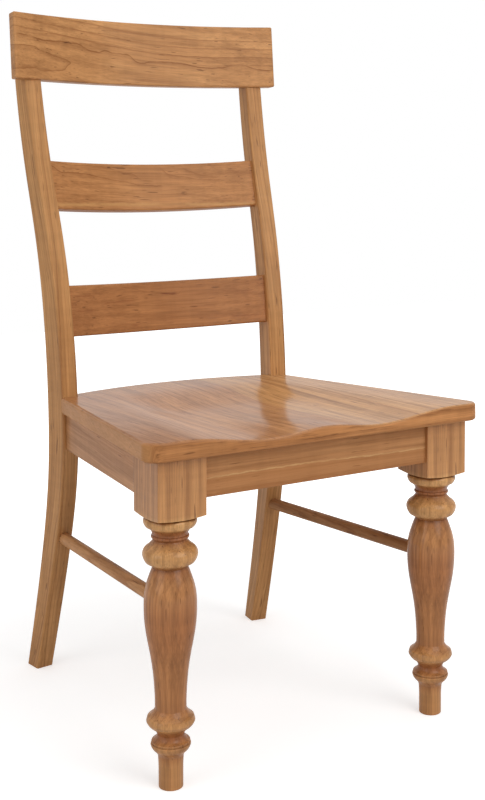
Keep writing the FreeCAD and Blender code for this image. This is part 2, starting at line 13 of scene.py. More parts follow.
# %% Load the chair
import bmesh
import bpy
import math
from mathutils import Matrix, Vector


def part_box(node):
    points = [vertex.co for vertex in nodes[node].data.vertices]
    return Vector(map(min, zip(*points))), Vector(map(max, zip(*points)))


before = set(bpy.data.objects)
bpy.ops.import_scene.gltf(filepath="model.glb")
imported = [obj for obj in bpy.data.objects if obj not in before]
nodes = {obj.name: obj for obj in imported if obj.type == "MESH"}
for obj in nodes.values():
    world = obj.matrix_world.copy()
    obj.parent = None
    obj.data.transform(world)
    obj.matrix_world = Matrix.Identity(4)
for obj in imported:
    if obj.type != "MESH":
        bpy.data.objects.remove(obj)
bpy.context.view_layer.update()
print("pieces:", len(nodes))

# %% [markdown]
# ## The camera
#
# The camera comes first, because everything after it is judged through it. The photograph
# was taken from the front left, looking down by 2.5 degrees, and the picture seems cropped,
# since the axis of the lens isn't in its middle. A camera's shift does exactly that. Turning
# the camera instead would make the upright legs lean.
#
# Its place was found by matching the blocks, rings and feet of the front legs, the outlines
# of the posts, and the slopes of the seat's and the front apron's edges. It is written from
# the axis of the front legs, so it follows the chair's own frame.

# %% Camera
PHOTO_WIDTH = 485
PHOTO_HEIGHT = 800
FOCAL_PIXELS = 1300.0
AXIS_PIXEL = (273.0, 217.1)
SENSOR = 36.0
CAMERA_X = -0.9761
CAMERA_AHEAD_OF_LEGS = 1.4615
CAMERA_HEIGHT = 0.8064
CAMERA_TILT = 87.483
CAMERA_TURN = -32.137

leg_low, leg_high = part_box("front_leg_left")
leg_axis_y = (leg_low.y + leg_high.y) / 2

lens = bpy.data.cameras.new("camera")
lens.sensor_width = SENSOR
lens.lens = FOCAL_PIXELS * SENSOR / PHOTO_HEIGHT
lens.shift_x = (PHOTO_WIDTH / 2 - AXIS_PIXEL[0]) / PHOTO_HEIGHT
lens.shift_y = (AXIS_PIXEL[1] - PHOTO_HEIGHT / 2) / PHOTO_HEIGHT
camera = bpy.data.objects.new("camera", lens)
camera.location = (CAMERA_X, leg_axis_y - CAMERA_AHEAD_OF_LEGS, CAMERA_HEIGHT)
camera.rotation_euler = (math.radians(CAMERA_TILT), 0, math.radians(CAMERA_TURN))
bpy.context.scene.collection.objects.link(camera)
bpy.context.scene.camera = camera
print("lens", round(lens.lens, 2), "mm at", tuple(round(v, 3) for v in camera.location))

# %% [markdown]
# ## Colours as they are seen
#
# Shaders work in linear light, and people judge colours as a screen shows them. A small
# helper turns a screen colour, from 0 to 255, into the linear one that a socket wants.

# %% Screen colour to linear
def screen(red_and_shade, green, blue):
    linear = []
    for value in (red_and_shade, green, blue):
        share = value / 255
        linear.append(share / 12.92 if share <= 0.04045 else ((share + 0.055) / 1.055) ** 2.4)
    return (*linear, 1)


print("a mid honey tone in linear light:", [round(v, 3) for v in screen(188, 138, 89)])

# %% [markdown]
# ## Building node trees in code
#
# A material is a graph. A few helpers keep the code as short as the graph is in the editor.
# The first feeds a socket with a plain value or a link, and the second adds a node with its
# settings and inputs. The others add a maths node, mix two colours, remap a value, stretch a
# noise along the grain, and make or place a group.

# %% Node helpers
def feed(tree, socket, value):
    if isinstance(value, bpy.types.NodeSocket):
        tree.links.new(value, socket)
    else:
        socket.default_value = value


def add(tree, kind, inputs=None, **settings):
    node = tree.nodes.new("ShaderNode" + kind)
    for name, value in settings.items():
        setattr(node, name, value)
    for name, value in (inputs or {}).items():
        feed(tree, node.inputs[name], value)
    return node


def maths(tree, operation, *values, **settings):
    inputs = dict(enumerate(values))
    return add(tree, "Math", inputs, operation=operation, **settings).outputs[0]


def mix(tree, factor, first, second, blend="MIX"):
    inputs = {0: factor, 6: first, 7: second}
    return add(tree, "Mix", inputs, data_type="RGBA", blend_type=blend).outputs[2]


def remap(tree, value, low, high, to_low=0.0, to_high=1.0):
    inputs = {"Value": value, "From Min": low, "From Max": high, "To Min": to_low, "To Max": to_high}
    return add(tree, "MapRange", inputs, interpolation_type="SMOOTHSTEP").outputs[0]


def stretched_noise(tree, vector, scale, detail, roughness=0.5):
    spread = add(tree, "VectorMath", {0: vector, 1: scale}, operation="MULTIPLY").outputs[0]
    inputs = {"Vector": spread, "Scale": 1.0, "Detail": detail, "Roughness": roughness}
    return add(tree, "TexNoise", inputs)


def new_group(name, inputs, outputs):
    group = bpy.data.node_groups.new(name, "ShaderNodeTree")
    for socket, kind in inputs:
        group.interface.new_socket(socket, in_out="INPUT", socket_type="NodeSocket" + kind)
    for socket, kind in outputs:
        group.interface.new_socket(socket, in_out="OUTPUT", socket_type="NodeSocket" + kind)
    start = group.nodes.new("NodeGroupInput")
    end = group.nodes.new("NodeGroupOutput")
    return group, start.outputs, end


def place_group(tree, group, **inputs):
    node = add(tree, "Group", node_tree=group)
    for name, value in inputs.items():
        feed(tree, node.inputs[name.replace("_", " ")], value)
    return node.outputs


print("node helpers are ready")

# %% [markdown]
# ## Growth rings
#
# A tree's rings are tubes round its pith. Where a board's face cuts them at a slant they
# show as nested tongues, and where it runs along them as long lines. So the pattern starts
# from one number, the distance from the pith, which is the length of the two coordinates
# across the grain. Low noise bends the pith, since no tree is straight, and finer noise
# makes the ring lines waver.
#
# Each ring darkens slowly to its late wood and ends in a thin line. White noise on the
# ring's whole number makes some years darker than others, and without it the lines would
# look printed.

# %% Group: growth rings
RING_JAG = 0.55

ring_group, ring_in, ring_end = new_group(
    "growth_rings",
    [("Vector", "Vector"), ("Spacing", "Float"), ("Wander", "Float")],
    [("Line", "Float"), ("Tone", "Float")])
bend_noise = stretched_noise(ring_group, ring_in["Vector"], (2.4, 7.0, 7.0), 2.0)
jag_noise = stretched_noise(ring_group, ring_in["Vector"], (28.0, 40.0, 40.0), 3.0, 0.6)
centred = add(ring_group, "VectorMath", {0: bend_noise.outputs["Color"], 1: (0.5, 0.5, 0.5)},
              operation="SUBTRACT").outputs[0]
bent = add(ring_group, "VectorMath", {0: centred, "Scale": ring_in["Wander"]},
           operation="SCALE").outputs[0]
moved = add(ring_group, "VectorMath", {0: ring_in["Vector"], 1: bent}, operation="ADD").outputs[0]
across = add(ring_group, "VectorMath", {0: moved, 1: (0.0, 1.0, 1.0)},
             operation="MULTIPLY").outputs[0]
radius = add(ring_group, "VectorMath", {0: across}, operation="LENGTH").outputs["Value"]
years = maths(ring_group, "DIVIDE", radius, ring_in["Spacing"])
jag = maths(ring_group, "MULTIPLY_ADD", jag_noise.outputs[0], RING_JAG, years)
within = maths(ring_group, "FRACT", jag)
year = maths(ring_group, "FLOOR", jag)
year_strength = add(ring_group, "TexWhiteNoise", {"W": year}, noise_dimensions="1D").outputs[0]
late_wood = remap(ring_group, within, 0.45, 0.93)
early_wood = remap(ring_group, within, 0.93, 1.0, 1.0, 0.0)
line = maths(ring_group, "MULTIPLY", late_wood, early_wood)
strong = remap(ring_group, year_strength, 0.15, 1.0, 0.12, 1.0)
ring_group.links.new(maths(ring_group, "MULTIPLY", line, strong), ring_end.inputs["Line"])
ring_group.links.new(year_strength, ring_end.inputs["Tone"])
print("growth rings:", len(ring_group.nodes), "nodes")

# %% [markdown]
# ## Fibres, flecks and clouding
#
# Between the rings, wood is bundles of fibres. Noise squeezed across the grain and drawn
# out along it gives streaks. Two sizes are needed, because one size looks like brushed
# metal. Dark flecks are the same kind of noise cut off high up, so that only its peaks are
# left, and a slower noise lets the small ones come in patches, as in the real boards.
#
# The clouding is broad and stretched much less. It stands for the way the finish takes: a
# board is never one tone from end to end. The ripple lies across the grain and gives the
# surface a faint shimmer.

# %% Group: fibres
SMALL_FLECK_SHARE = 0.45

fibre_group, fibre_in, fibre_end = new_group(
    "fibres",
    [("Vector", "Vector")],
    [("Fine", "Float"), ("Streak", "Float"), ("Fleck", "Float"), ("Cloud", "Float"),
     ("Ripple", "Float")])
fine = stretched_noise(fibre_group, fibre_in["Vector"], (9.0, 520.0, 520.0), 4.0, 0.62)
streak = stretched_noise(fibre_group, fibre_in["Vector"], (2.6, 95.0, 95.0), 3.0, 0.55)
small_fleck = stretched_noise(fibre_group, fibre_in["Vector"], (55.0, 620.0, 620.0), 1.0)
long_fleck = stretched_noise(fibre_group, fibre_in["Vector"], (26.0, 330.0, 330.0), 1.0)
patch = stretched_noise(fibre_group, fibre_in["Vector"], (7.0, 30.0, 30.0), 1.0)
cloud = stretched_noise(fibre_group, fibre_in["Vector"], (4.5, 15.0, 15.0), 3.0, 0.6)
ripple = stretched_noise(fibre_group, fibre_in["Vector"], (85.0, 9.0, 9.0), 2.0)
small_peaks = remap(fibre_group, small_fleck.outputs[0], 0.66, 0.78)
long_peaks = remap(fibre_group, long_fleck.outputs[0], 0.68, 0.76)
patchy = remap(fibre_group, patch.outputs[0], 0.42, 0.66)
small_patches = maths(fibre_group, "MULTIPLY", small_peaks, patchy)
small_share = maths(fibre_group, "MULTIPLY", small_patches, SMALL_FLECK_SHARE)
flecks = maths(fibre_group, "MAXIMUM", small_share, long_peaks)
for name, value in (("Fine", fine.outputs[0]), ("Streak", streak.outputs[0]),
                    ("Fleck", flecks), ("Cloud", cloud.outputs[0]),
                    ("Ripple", ripple.outputs[0])):
    fibre_group.links.new(value, fibre_end.inputs[name])
print("fibres:", len(fibre_group.nodes), "nodes")

# %% [markdown]
# ## Lines drawn one by one
#
# A pattern gives a board its character, but not the one line by which you would know that
# board again. On the crest a strong ring line falls from the upper left to the lower right,
# and a tongue points in from the left end. Such lines are drawn: a Float Curve holds their
# height along the board, as a spline ruler would, and the group turns the distance from
# the curve into a mark. The mark is sharp on one side and fades on the other, as late wood
# does, and noise makes it waver and break.

# %% Group: drawn line
MM_IN_M = 1000
WAVER = 0.004
FADE_WIDTHS = 5.0

line_group, line_in, line_end = new_group(
    "drawn_line",
    [("Vector", "Vector"), ("Above", "Float"), ("Width", "Float"), ("Fade", "Float")],
    [("Mask", "Float")])
waver = stretched_noise(line_group, line_in["Vector"], (75.0, 75.0, 75.0), 3.0).outputs[0]
shift = maths(line_group, "MULTIPLY_ADD", waver, WAVER, -WAVER / 2)
height = maths(line_group, "ADD", line_in["Above"], shift)
far_off = maths(line_group, "ABSOLUTE", height)
core = remap(line_group, far_off, 0.0, line_in["Width"], 1.0, 0.0)
reach = maths(line_group, "MULTIPLY", line_in["Width"], -FADE_WIDTHS)
fade = remap(line_group, height, reach, 0.0, 0.0, 1.0)
one_side = remap(line_group, height, -0.0002, 0.0008, 1.0, 0.0)
soft = maths(line_group, "MULTIPLY", maths(line_group, "MULTIPLY", fade, one_side),
             line_in["Fade"])
broken = stretched_noise(line_group, line_in["Vector"], (26.0, 70.0, 70.0), 2.0).outputs[0]
kept = remap(line_group, broken, 0.34, 0.56, 0.45, 1.0)
mark = maths(line_group, "MULTIPLY", maths(line_group, "MAXIMUM", core, soft), kept)
line_group.links.new(mark, line_end.inputs["Mask"])


def hand_curve(tree, value, points):
    node = add(tree, "FloatCurve", {"Value": value})
    curve = node.mapping.curves[0]
    curve.points[0].location = points[0]
    curve.points[1].location = points[-1]
    for point in points[1:-1]:
        curve.points.new(*point)
    node.mapping.update()
    return node.outputs[0]


def height_along(tree, along, points):
    start = points[0][0]
    stop = points[-1][0]
    heights = [z for x, z in points]
    lowest = min(heights)
    span = max(heights) - lowest + 0.001  # a level line has a span too
    inputs = {"Value": along, "From Min": start / MM_IN_M, "From Max": stop / MM_IN_M}
    share = add(tree, "MapRange", inputs).outputs[0]
    shares = [((x - start) / (stop - start), (z - lowest) / span) for x, z in points]
    curve = hand_curve(tree, share, shares)
    return maths(tree, "MULTIPLY_ADD", curve, span / MM_IN_M, lowest / MM_IN_M)


def drawn_line(tree, place, points, width=0.0015, fade=0.35, strength=0.7, taper=0.012):
    parts = add(tree, "SeparateXYZ", {0: place}).outputs
    start = points[0][0] / MM_IN_M
    stop = points[-1][0] / MM_IN_M
    above = maths(tree, "SUBTRACT", parts["Z"], height_along(tree, parts["X"], points))
    mask = place_group(tree, line_group, Vector=place, Above=above, Width=width, Fade=fade)[0]
    begins = remap(tree, parts["X"], start, start + taper)
    ends = remap(tree, parts["X"], stop - taper, stop, 1.0, 0.0)
    along = maths(tree, "MULTIPLY", begins, ends)
    return maths(tree, "MULTIPLY", maths(tree, "MULTIPLY", mask, along), strength), above


print("drawn line:", len(line_group.nodes), "nodes")

# %% [markdown]
# ## From masks to the colour of wood
#
# A finisher would describe the board as a ground colour with redder streaks, darker rings
# and dark brown flecks. The colour group says the same: it starts from the ground and
# lays the others over it one by one. The masks do the drawing and the colours stay few,
# so a whole piece can be retoned by its ground alone. Contrast says how strongly the finest
# fibres and stripes lighten and darken it.

# %% Group: wood colour
LIGHTER_TINT = (1.16, 1.17, 1.20, 1)
REDDER_TINT = (0.90, 0.82, 0.77, 1)
EVEN_SHARE = 0.45
YEAR_SHARE = 0.16
FLECK_SHARE = 0.62
FLECK_DEPTH = -0.8

colour_group, colour_in, colour_end = new_group(
    "wood_colour",
    [("Vector", "Vector"), ("Spacing", "Float"), ("Wander", "Float"), ("Ring Amount", "Float"),
     ("Contrast", "Float"), ("Ground", "Color"), ("Ring", "Color"), ("Flecks", "Color")],
    [("Color", "Color"), ("Height", "Float"), ("Fine", "Float")])
rings = place_group(colour_group, ring_group, Vector=colour_in["Vector"],
                    Spacing=colour_in["Spacing"], Wander=colour_in["Wander"])
fibres = place_group(colour_group, fibre_group, Vector=colour_in["Vector"])
lighter = mix(colour_group, 1.0, colour_in["Ground"], LIGHTER_TINT, "MULTIPLY")
redder = mix(colour_group, 1.0, colour_in["Ground"], REDDER_TINT, "MULTIPLY")
clouds = remap(colour_group, fibres["Cloud"], 0.36, 0.66)
tone = mix(colour_group, clouds, redder, lighter)
board = mix(colour_group, EVEN_SHARE, tone, colour_in["Ground"])
streaks = remap(colour_group, fibres["Streak"], 0.40, 0.70, 0.0, 0.70)
streaked = mix(colour_group, streaks, board, redder)
year_tone = maths(colour_group, "MULTIPLY", rings["Tone"], YEAR_SHARE)
toned = mix(colour_group, year_tone, streaked, colour_in["Ring"])
lines = maths(colour_group, "MULTIPLY", rings["Line"], colour_in["Ring Amount"])
ringed = mix(colour_group, lines, toned, colour_in["Ring"])
grey = remap(colour_group, fibres["Fine"], 0.30, 0.72, 0.09, -0.12)
shimmer = remap(colour_group, fibres["Ripple"], 0.35, 0.65, -0.025, 0.025)
stripes = remap(colour_group, fibres["Streak"], 0.34, 0.68, 0.07, -0.11)
texture = maths(colour_group, "ADD", maths(colour_group, "ADD", grey, shimmer), stripes)
shade = maths(colour_group, "MULTIPLY_ADD", texture, colour_in["Contrast"], 1.0)
shade_colour = add(colour_group, "CombineColor", {0: shade, 1: shade, 2: shade}).outputs[0]
fibrous = mix(colour_group, 1.0, ringed, shade_colour, "MULTIPLY")
fleck_share = maths(colour_group, "MULTIPLY", fibres["Fleck"], FLECK_SHARE)
flecked = mix(colour_group, fleck_share, fibrous, colour_in["Flecks"])
relief = maths(colour_group, "MULTIPLY_ADD", fibres["Fleck"], FLECK_DEPTH, fibres["Fine"])
colour_group.links.new(flecked, colour_end.inputs["Color"])
colour_group.links.new(relief, colour_end.inputs["Height"])
colour_group.links.new(fibres["Fine"], colour_end.inputs["Fine"])
print("wood colour:", len(colour_group.nodes), "nodes")

# %% [markdown]
# ## Rubbed edges
#
# The finish is thin where it was rubbed, so the eased edges are a little paler. The Bevel
# node blurs the normal near an edge, so the angle between that normal and the true one says
# how close an edge is. It works on any mesh, and needs no painting.

# %% Group: rubbed edges
edge_group, edge_in, edge_end = new_group(
    "rubbed_edges", [("Radius", "Float")], [("Mask", "Float")])
blurred = add(edge_group, "Bevel", {"Radius": edge_in["Radius"]}, samples=4).outputs[0]
true_normal = add(edge_group, "NewGeometry").outputs["Normal"]
agreement = add(edge_group, "VectorMath", {0: blurred, 1: true_normal},
                operation="DOT_PRODUCT").outputs["Value"]
edge_group.links.new(remap(edge_group, agreement, 0.97, 0.80), edge_end.inputs["Mask"])
print("rubbed edges:", len(edge_group.nodes), "nodes")

# %% [markdown]
# ## Painted shade in the grooves
#
# A turning is darker where it narrows between two rings, as shade falls there and the finish gathers
# where no sandpaper reaches. That darkening is painted shade, which also stands for the gathered
# finish. The Ambient Occlusion node finds such places: it looks 12 mm round each point and tells how
# much of its own piece stands in the way.

# %% Group: painted groove shade
groove_shade_group, groove_in, groove_end = new_group(
    "groove_shade", [("Reach", "Float")], [("Mask", "Float")])
openness = add(groove_shade_group, "AmbientOcclusion", {"Distance": groove_in["Reach"]}, samples=8,
               only_local=True).outputs["AO"]
groove_shade_group.links.new(remap(groove_shade_group, openness, 0.92, 0.40), groove_end.inputs["Mask"])
print("grooves:", len(groove_shade_group.nodes), "nodes")

# %% [markdown]
# ## One recipe for every wooden piece
#
# Each piece is cut from its own place in the log. The pith's place is taken off the chair's
# coordinates, and a Mapping node turns them so that the pattern's X runs along the grain of
# that piece. Grain follows a piece's length: along X in the slats and the crest, along Z in
# legs and posts, from front to back in the seat.
#
# The lacquer is a coat on top of the wood. The wood underneath is rough, and its fibres and
# flecks give it a faint relief. The coat over it is smooth and satin.

# %% The wood recipe
ALONG_X = (0.0, 0.0, 0.0)
ALONG_Y = (0.0, 0.0, math.radians(-90))
ALONG_Z = (0.0, math.radians(90), 0.0)
FLECK = screen(88, 52, 30)
RING = screen(146, 94, 54)
GROOVE_SHADE_TINT = (0.36, 0.24, 0.17, 1)
GROOVE_REACH = 0.012
RUBBED_TINT = (1.18, 1.20, 1.22, 1)
RUBBED_RADIUS = 0.003
WOOD_ROUGHNESS = (0.42, 0.56)
WOOD_SPECULAR = 0.02
RELIEF_STRENGTH = 0.22
RELIEF_DEPTH = 0.0003
COAT_ROUGHNESS = 0.20
SIDES = (("left", -1), ("right", 1))


def grain_vector(tree, turn, pith, vector=None):
    if vector is None:
        vector = add(tree, "TexCoord").outputs["Object"]
    to_pith = add(tree, "VectorMath", {0: vector, 1: pith}, operation="SUBTRACT").outputs[0]
    inputs = {"Vector": to_pith, "Rotation": turn}
    return add(tree, "Mapping", inputs, vector_type="POINT").outputs[0]


def finish_wood(material, vector, ground, ring=RING, spacing=0.007, wander=0.014, rings=0.6,
                coat=0.2, paler=0.4, contrast=1.0, groove_shade=0.0, marks=()):
    tree = material.node_tree
    wood = place_group(tree, colour_group, Vector=vector, Spacing=spacing, Wander=wander,
                       Ring_Amount=rings, Contrast=contrast, Ground=ground, Ring=ring,
                       Flecks=FLECK)
    colour = wood["Color"]
    for mask, mark_colour in marks:
        colour = mix(tree, mask, colour, mark_colour)
    edge = place_group(tree, edge_group, Radius=RUBBED_RADIUS)["Mask"]
    rubbed = mix(tree, 1.0, colour, RUBBED_TINT, "MULTIPLY")
    finished = mix(tree, maths(tree, "MULTIPLY", edge, paler), colour, rubbed)
    # Painted shade: the colour darkens in the grooves, where the piece hides its own light, and
    # stands also for finish gathered there.
    if groove_shade > 0.0:
        narrow = place_group(tree, groove_shade_group, Reach=GROOVE_REACH)["Mask"]
        darker = mix(tree, 1.0, finished, GROOVE_SHADE_TINT, "MULTIPLY")
        finished = mix(tree, maths(tree, "MULTIPLY", narrow, groove_shade), finished, darker)
    rough = remap(tree, wood["Fine"], 0.3, 0.7, *WOOD_ROUGHNESS)
    bump = add(tree, "Bump", {"Height": wood["Height"], "Strength": RELIEF_STRENGTH,
                              "Distance": RELIEF_DEPTH})
    shader = tree.nodes["Principled BSDF"]
    tree.links.new(finished, shader.inputs["Base Color"])
    tree.links.new(rough, shader.inputs["Roughness"])
    tree.links.new(bump.outputs[0], shader.inputs["Normal"])
    shader.inputs["Specular IOR Level"].default_value = WOOD_SPECULAR
    shader.inputs["Coat Weight"].default_value = coat
    shader.inputs["Coat Roughness"].default_value = COAT_ROUGHNESS
    return material


def new_material(name):
    material = bpy.data.materials.new(name)
    material.use_nodes = True
    return material, material.node_tree


def wood(name, turn, pith, ground, **look):
    material, tree = new_material(name)
    return finish_wood(material, grain_vector(tree, turn, pith), ground, **look)


def give(node, material):
    slots = nodes[node].data.materials
    slots.clear()
    slots.append(material)
    print(node, "is finished with", material.name)


# %% [markdown]
# ## The crest
#
# The crest is the board that meets the eye first, so its figure follows the real one. The
# pith lies under the board, and the rings show as long lines that fall a little to the
# right. They are strong above the drawn line, and almost gone below it, where the face
# runs along one ring. Heights and lengths of the drawn points are in millimetres.

# %% Crest
CREST_GROUND = screen(194, 142, 91)
CREST_TURN = (0, math.radians(-3.4), math.radians(2))
CREST_PITH = (0.0, 0.215, 0.895)
LINE_COLOUR = screen(130, 79, 42)
STRONG_LINE = ((-238, 1003), (-208, 1001), (-180, 996), (-150, 996), (-122, 994), (-107, 988),
               (-82, 982), (-69, 986), (-56, 982), (-37, 982), (-22, 979), (0, 968), (16, 971),
               (60, 971), (90, 967), (120, 964), (145, 965), (173, 971), (200, 966),
               (222, 962), (238, 964))
NEXT_LINE = ((-205, 1006), (-156, 1007), (-124, 1003), (-77, 998), (-31, 994), (12, 989),
             (61, 984), (116, 982), (178, 982), (225, 981))
UPPER_LINE = ((-150, 1017), (-86, 1014), (-58, 1012), (-2, 1007), (71, 1005), (108, 1002),
              (180, 1000), (232, 999))
TOP_LINE = ((-212, 1029), (-170, 1025), (-110, 1023), (-30, 1021), (40, 1017), (90, 1017))
LOW_LINE = ((-30, 938), (10, 940), (60, 938), (95, 938))
SHORT_LINE = ((6, 960), (24, 958), (50, 956))
DARK_FLECK = ((-147, 995), (-140, 995), (-129, 994))
TONGUE_MIDDLE = ((-240, 967), (-203, 968), (-190, 963), (-175, 962), (-160, 960), (-148, 960),
                 (-136, 962), (-100, 962))
TONGUE_HALF = ((-240, 19), (-203, 17), (-190, 16), (-175, 14), (-160, 11), (-148, 9), (-141, 5),
               (-134, 0), (-122, -14), (-100, -30))


def tongue(tree, place, middle, half, width=0.0017, fade=0.5, strength=0.7):
    parts = add(tree, "SeparateXYZ", {0: place}).outputs
    from_middle = maths(tree, "SUBTRACT", parts["Z"], height_along(tree, parts["X"], middle))
    beyond = maths(tree, "SUBTRACT", maths(tree, "ABSOLUTE", from_middle),
                   height_along(tree, parts["X"], half))
    mask = place_group(tree, line_group, Vector=place, Above=beyond, Width=width, Fade=fade)[0]
    return maths(tree, "MULTIPLY", mask, strength)


crest_wood, tree = new_material("crest_wood")
place = add(tree, "TexCoord").outputs["Object"]
strong, above_strong = drawn_line(tree, place, STRONG_LINE, 0.0019, 0.35, 0.88)
marks = [(strong, LINE_COLOUR),
         (tongue(tree, place, TONGUE_MIDDLE, TONGUE_HALF), LINE_COLOUR),
         (drawn_line(tree, place, DARK_FLECK, 0.0020, 0.0, 0.9, 0.005)[0], FLECK)]
for points, strength in ((NEXT_LINE, 0.42), (UPPER_LINE, 0.36), (TOP_LINE, 0.34),
                         (LOW_LINE, 0.40), (SHORT_LINE, 0.45)):
    marks.append((drawn_line(tree, place, points, 0.0013, 0.5, strength, 0.03)[0], LINE_COLOUR))
ring_share = remap(tree, above_strong, -0.006, 0.004, 0.10, 0.55)
crest_vector = grain_vector(tree, CREST_TURN, CREST_PITH)
finish_wood(crest_wood, crest_vector, CREST_GROUND, spacing=0.0068, wander=0.012,
            rings=ring_share, marks=marks)
give("crest_rail", crest_wood)

# %% [markdown]
# ## The slats
#
# The slats are sawn from the same stock. The upper one has a dark line that falls from its
# left end, three tips of rings at its upper right, and a paler band along its lower edge.
# The lower slat is the reddest board in the chair, with one shallow dish of a ring at its
# top and short dark fibres.

# %% Slats
UPPER_GROUND = screen(184, 130, 81)
UPPER_TURN = (0, math.radians(-1.5), 0)
UPPER_PITH = (0.0, 0.20, 0.69)
BAND_COLOUR = screen(206, 156, 98)
LOWER_GROUND = screen(174, 119, 73)
LOWER_TURN = (0, 0, math.radians(2))
LOWER_PITH = (0.0, 0.16, 0.50)
SMUDGE_COLOUR = screen(112, 58, 32)
FIBRE_COLOUR = screen(122, 66, 38)
FALLING_LINE = ((-190, 802), (-176, 795), (-165, 787), (-148, 786), (-130, 785), (-108, 782),
                (-86, 777), (-55, 772), (-17, 765), (25, 763))
UPPER_FALL = ((-175, 804), (-139, 798), (-109, 797), (-76, 793), (-55, 787), (-31, 782),
              (-14, 773), (8, 771))
RING_TIPS = (((16, 797), (26, 789), (38, 781), (59, 778), (91, 774), (135, 772)),
             ((58, 797), (68, 790), (84, 784), (106, 779), (130, 777)),
             ((112, 799), (124, 791), (140, 789), (170, 787)))
SLAT_FLECK = ((-79, 794), (-75, 794), (-70, 793))
LOWER_LINES = (((-150, 748), (-60, 751), (40, 749), (150, 747)),
               ((-120, 757), (-20, 756), (90, 758), (160, 757)))
BAND = ((-200, 737), (-100, 735), (0, 733), (100, 732), (200, 732))

upper_wood, tree = new_material("upper_slat_wood")
place = add(tree, "TexCoord").outputs["Object"]
marks = [(drawn_line(tree, place, FALLING_LINE, 0.0016, 0.35, 0.80)[0], LINE_COLOUR),
         (drawn_line(tree, place, UPPER_FALL, 0.0014, 0.45, 0.55)[0], LINE_COLOUR),
         (drawn_line(tree, place, SLAT_FLECK, 0.0020, 0.0, 0.9, 0.003)[0], FLECK),
         (drawn_line(tree, place, BAND, 0.0050, 0.0, 0.55, 0.02)[0], BAND_COLOUR)]
for points in RING_TIPS:
    marks.append((drawn_line(tree, place, points, 0.0014, 0.6, 0.55)[0], LINE_COLOUR))
for points in LOWER_LINES:
    marks.append((drawn_line(tree, place, points, 0.0012, 0.4, 0.30, 0.04)[0], LINE_COLOUR))
upper_vector = grain_vector(tree, UPPER_TURN, UPPER_PITH)
finish_wood(upper_wood, upper_vector, UPPER_GROUND, spacing=0.0075, rings=0.28, marks=marks)
give("slat_upper", upper_wood)

DISH = ((-95, 607), (-55, 599), (-27, 592), (-9, 590), (5, 587), (20, 587), (31, 593),
        (42, 603))
DISH_SMUDGE = ((-12, 590), (5, 588), (24, 588))
FIBRES = (((-172, 595), (-150, 594), (-129, 593)), ((-118, 580), (-80, 581), (-52, 580)),
          ((-172, 572), (-150, 571), (-128, 571)), ((-70, 543), (-60, 542), (-46, 545)),
          ((40, 566), (70, 565), (95, 566)), ((95, 589), (125, 587), (165, 587)),
          ((110, 548), (140, 546), (170, 547)))
lower_wood, tree = new_material("lower_slat_wood")
place = add(tree, "TexCoord").outputs["Object"]
marks = [(drawn_line(tree, place, DISH, 0.0014, 0.0, 0.50, 0.03)[0], LINE_COLOUR),
         (drawn_line(tree, place, DISH_SMUDGE, 0.0030, 0.0, 0.75, 0.008)[0], SMUDGE_COLOUR)]
for points in FIBRES:
    marks.append((drawn_line(tree, place, points, 0.0022, 0.3, 0.45, 0.012)[0], FIBRE_COLOUR))
lower_vector = grain_vector(tree, LOWER_TURN, LOWER_PITH)
finish_wood(lower_wood, lower_vector, LOWER_GROUND, spacing=0.011, rings=0.22, marks=marks)
give("slat_lower", lower_wood)

# %% [markdown]
# ## The posts
#
# A bent post's grain bends with it. If the pattern ran straight up, its lines would run
# off the faces at each bend. So the post's own bend is taken out first: a curve gives how
# far back the post stands at each height, and that is subtracted from Y before the ring
# pattern sees it.

# %% Posts
post_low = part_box("rear_post_right")[0]
BEND_HEIGHTS = (0.0, 0.20, 0.38, 0.545, 0.68, 0.80, 0.93, 1.0)
BEND_BACK = (0.085, 0.028, 0.001, 0.011, 0.039, 0.075, 0.105, 0.116)
BEND_MOST = 0.12
POST_GROUND = screen(193, 143, 91)
POST_PITH_OUT = 0.23
POST_PITH_FORWARD = 0.02


def unbent(tree):
    place = add(tree, "TexCoord").outputs["Object"]
    parts = add(tree, "SeparateXYZ", {0: place}).outputs
    points = [(height, back / BEND_MOST) for height, back in zip(BEND_HEIGHTS, BEND_BACK)]
    back = maths(tree, "MULTIPLY", hand_curve(tree, parts["Z"], points), BEND_MOST)
    straight_y = maths(tree, "SUBTRACT", parts["Y"], back)
    return add(tree, "CombineXYZ", {0: parts["X"], 1: straight_y, 2: parts["Z"]}).outputs[0]


def post_wood(name, pith, ground):
    material, tree = new_material(name)
    vector = grain_vector(tree, ALONG_Z, pith, unbent(tree))
    return finish_wood(material, vector, ground, spacing=0.0055, rings=0.5, paler=0.6)


for side, sign in SIDES:
    pith = (sign * POST_PITH_OUT, post_low.y - POST_PITH_FORWARD, 0.0)
    give("rear_post_" + side, post_wood("post_wood_" + side, pith, POST_GROUND))

# %% [markdown]
# ## The front legs
#
# A turned leg cuts through many rings, and each swelling shows them as long ovals. The
# pith lies just outside the square blank, as it should: a leg with the heart in it would
# split.
#
# In the photograph a turning isn't one tone. The full curves of the rings and the collar
# are golden, while the vase and the narrow places between the rings are redder. A curve over
# the leg's height says how red the ground is there.

# %% Legs
# Painted light and shade along the turning: the golden full curves stand partly for light falling on
# them, the redder narrow places partly for shade, over the wood's own tone.
REDNESS_AND_SHADE = ((0.0, 0.40), (0.030, 0.35), (0.044, 0.65), (0.056, 0.35), (0.070, 1.0), (0.087, 0.20),
           (0.103, 0.70), (0.150, 0.70), (0.220, 0.85), (0.270, 0.60), (0.288, 0.80),
           (0.296, 0.05), (0.312, 0.15), (0.320, 0.35), (0.324, 1.0), (0.335, 1.0), (0.340, 0.0),
           (0.350, 0.0), (0.362, 0.45), (1.0, 0.45))
GOLDEN_AND_LIT = screen(204, 154, 98)
REDDISH_AND_SHADED = screen(162, 102, 60)
LEG_PITH_LEFT = 0.028
LEG_PITH_BACK = 0.052


